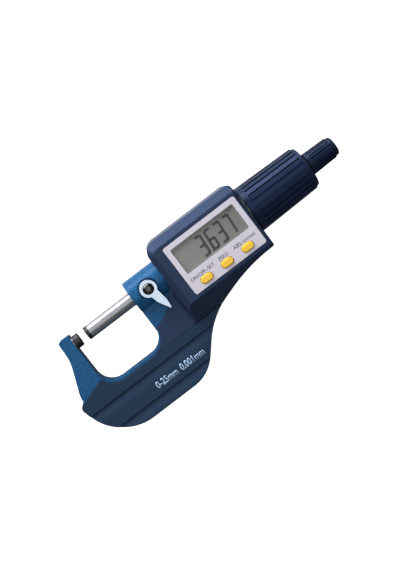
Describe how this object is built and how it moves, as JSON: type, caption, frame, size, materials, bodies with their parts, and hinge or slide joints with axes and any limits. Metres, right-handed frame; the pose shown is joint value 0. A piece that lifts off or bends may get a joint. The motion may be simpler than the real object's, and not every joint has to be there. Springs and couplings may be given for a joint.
{
  "type": "outside micrometer",
  "caption": "Outside micrometer with a C-shaped frame, spindle and anvil, ratchet thimble, lock lever, electronic display box with oval buttons and moulded grip covers.",
  "frame": {"origin": "centre of the anvil's measuring face, on the spindle axis", "axes": "+X along the spindle axis from anvil to ratchet, +Y away from the grip, +Z out of the display"},
  "size_m": [0.1631, 0.0639, 0.0302],
  "materials": {
    "hammer_paint": "hammer-finish enamel on cast steel",
    "navy_abs": "moulded ABS, fine spark texture",
    "carbide": "ground and lapped tungsten carbide",
    "ground_steel": "ground hardened steel",
    "satin_chrome": "satin chrome plating",
    "bright_chrome": "polished chrome plating",
    "black_oxide": "black oxide on steel",
    "silver_plate": "silver printed aluminium plate",
    "display_glass": "clear acrylic window",
    "display_film": "liquid crystal panel, grey-green film",
    "yellow_button": "moulded yellow silicone",
    "zinc_screw": "zinc plated steel",
    "brass": "turned brass",
    "board_laminate": "glass-fibre laminate with solder mask",
    "white_plastic": "natural moulded plastic",
    "elastomer": "layered conductive elastomer",
    "switch_black": "black moulded switch body",
    "cell_steel": "nickel plated cell case",
    "spring_steel": "spring wire"
  },
  "bodies": {
    "frame_body": {"frame": "hammer_paint", "anvil_stem": "ground_steel", "anvil_tip": "carbide", "grip_cover_front": "navy_abs", "grip_cover_back": "navy_abs", "grip_screws": "zinc_screw", "housing_front": "navy_abs", "housing_back": "navy_abs", "housing_screws": "zinc_screw", "face_plate": "silver_plate", "display_window": "display_glass", "display_panel": "display_film", "display_holder": "white_plastic", "connector_strips": "elastomer", "circuit_board": "board_laminate", "board_screws": "zinc_screw", "button_switches": "switch_black", "battery": "cell_steel", "battery_contact": "brass", "stator_disc": "board_laminate", "stator_ribbon": "brass", "rotor_spring": "spring_steel", "inner_sleeve": "ground_steel", "adjusting_nut": "zinc_screw", "outer_sleeve": "satin_chrome", "lock_pad": "brass"},
    "rotor_body": {"rotor_disc": "board_laminate", "rotor_sleeve": "brass", "rotor_key": "ground_steel"},
    "spindle_body": {"spindle": "ground_steel", "spindle_tip": "carbide", "thimble_core": "satin_chrome", "thimble": "navy_abs", "ratchet_stem": "ground_steel", "clutch_disc_fixed": "ground_steel"},
    "ratchet_body": {"ratchet_knob": "navy_abs", "clutch_disc_driven": "ground_steel", "ratchet_spring": "spring_steel"},
    "lock_body": {"lock_lever": "bright_chrome", "lock_screw": "black_oxide"},
    "power_button_body": {"power_button": "yellow_button"},
    "zero_button_body": {"zero_button": "yellow_button"},
    "mode_button_body": {"mode_button": "yellow_button"},
    "battery_cover_body": {"battery_cover": "navy_abs"}
  },
  "joints": [
    {"name": "spindle_turn", "type": "hinge", "parent": "frame_body", "child": "rotor_body", "pos_m": [0, 0, 0], "axis": [1, 0, 0], "range_deg": [-2619, 15382]},
    {"name": "spindle_travel", "type": "slide", "parent": "rotor_body", "child": "spindle_body", "axis": [1, 0, 0], "range_m": [-0.00364, 0.02136]},
    {"name": "ratchet_turn", "type": "hinge", "parent": "spindle_body", "child": "ratchet_body", "pos_m": [0.13, 0, 0], "axis": [1, 0, 0], "continuous": true},
    {"name": "lock_lever_turn", "type": "hinge", "parent": "frame_body", "child": "lock_body", "pos_m": [0.0386, 0, 0.0064], "axis": [0, 0, 1], "range_deg": [-75, 0]},
    {"name": "power_button_press", "type": "slide", "parent": "frame_body", "child": "power_button_body", "axis": [0, 0, -1], "range_m": [0, 0.0005], "stiffness_N_per_m": 600},
    {"name": "zero_button_press", "type": "slide", "parent": "frame_body", "child": "zero_button_body", "axis": [0, 0, -1], "range_m": [0, 0.0005], "stiffness_N_per_m": 600},
    {"name": "mode_button_press", "type": "slide", "parent": "frame_body", "child": "mode_button_body", "axis": [0, 0, -1], "range_m": [0, 0.0005], "stiffness_N_per_m": 600},
    {"name": "battery_cover_turn", "type": "hinge", "parent": "frame_body", "child": "battery_cover_body", "pos_m": [0.069, 0.0072, -0.0125], "axis": [0, 0, 1], "range_deg": [0, 60]}
  ],
  "couplings": [
    {"joint": "spindle_turn", "follows": "spindle_travel", "rad_per_m": 12566}
  ]
}
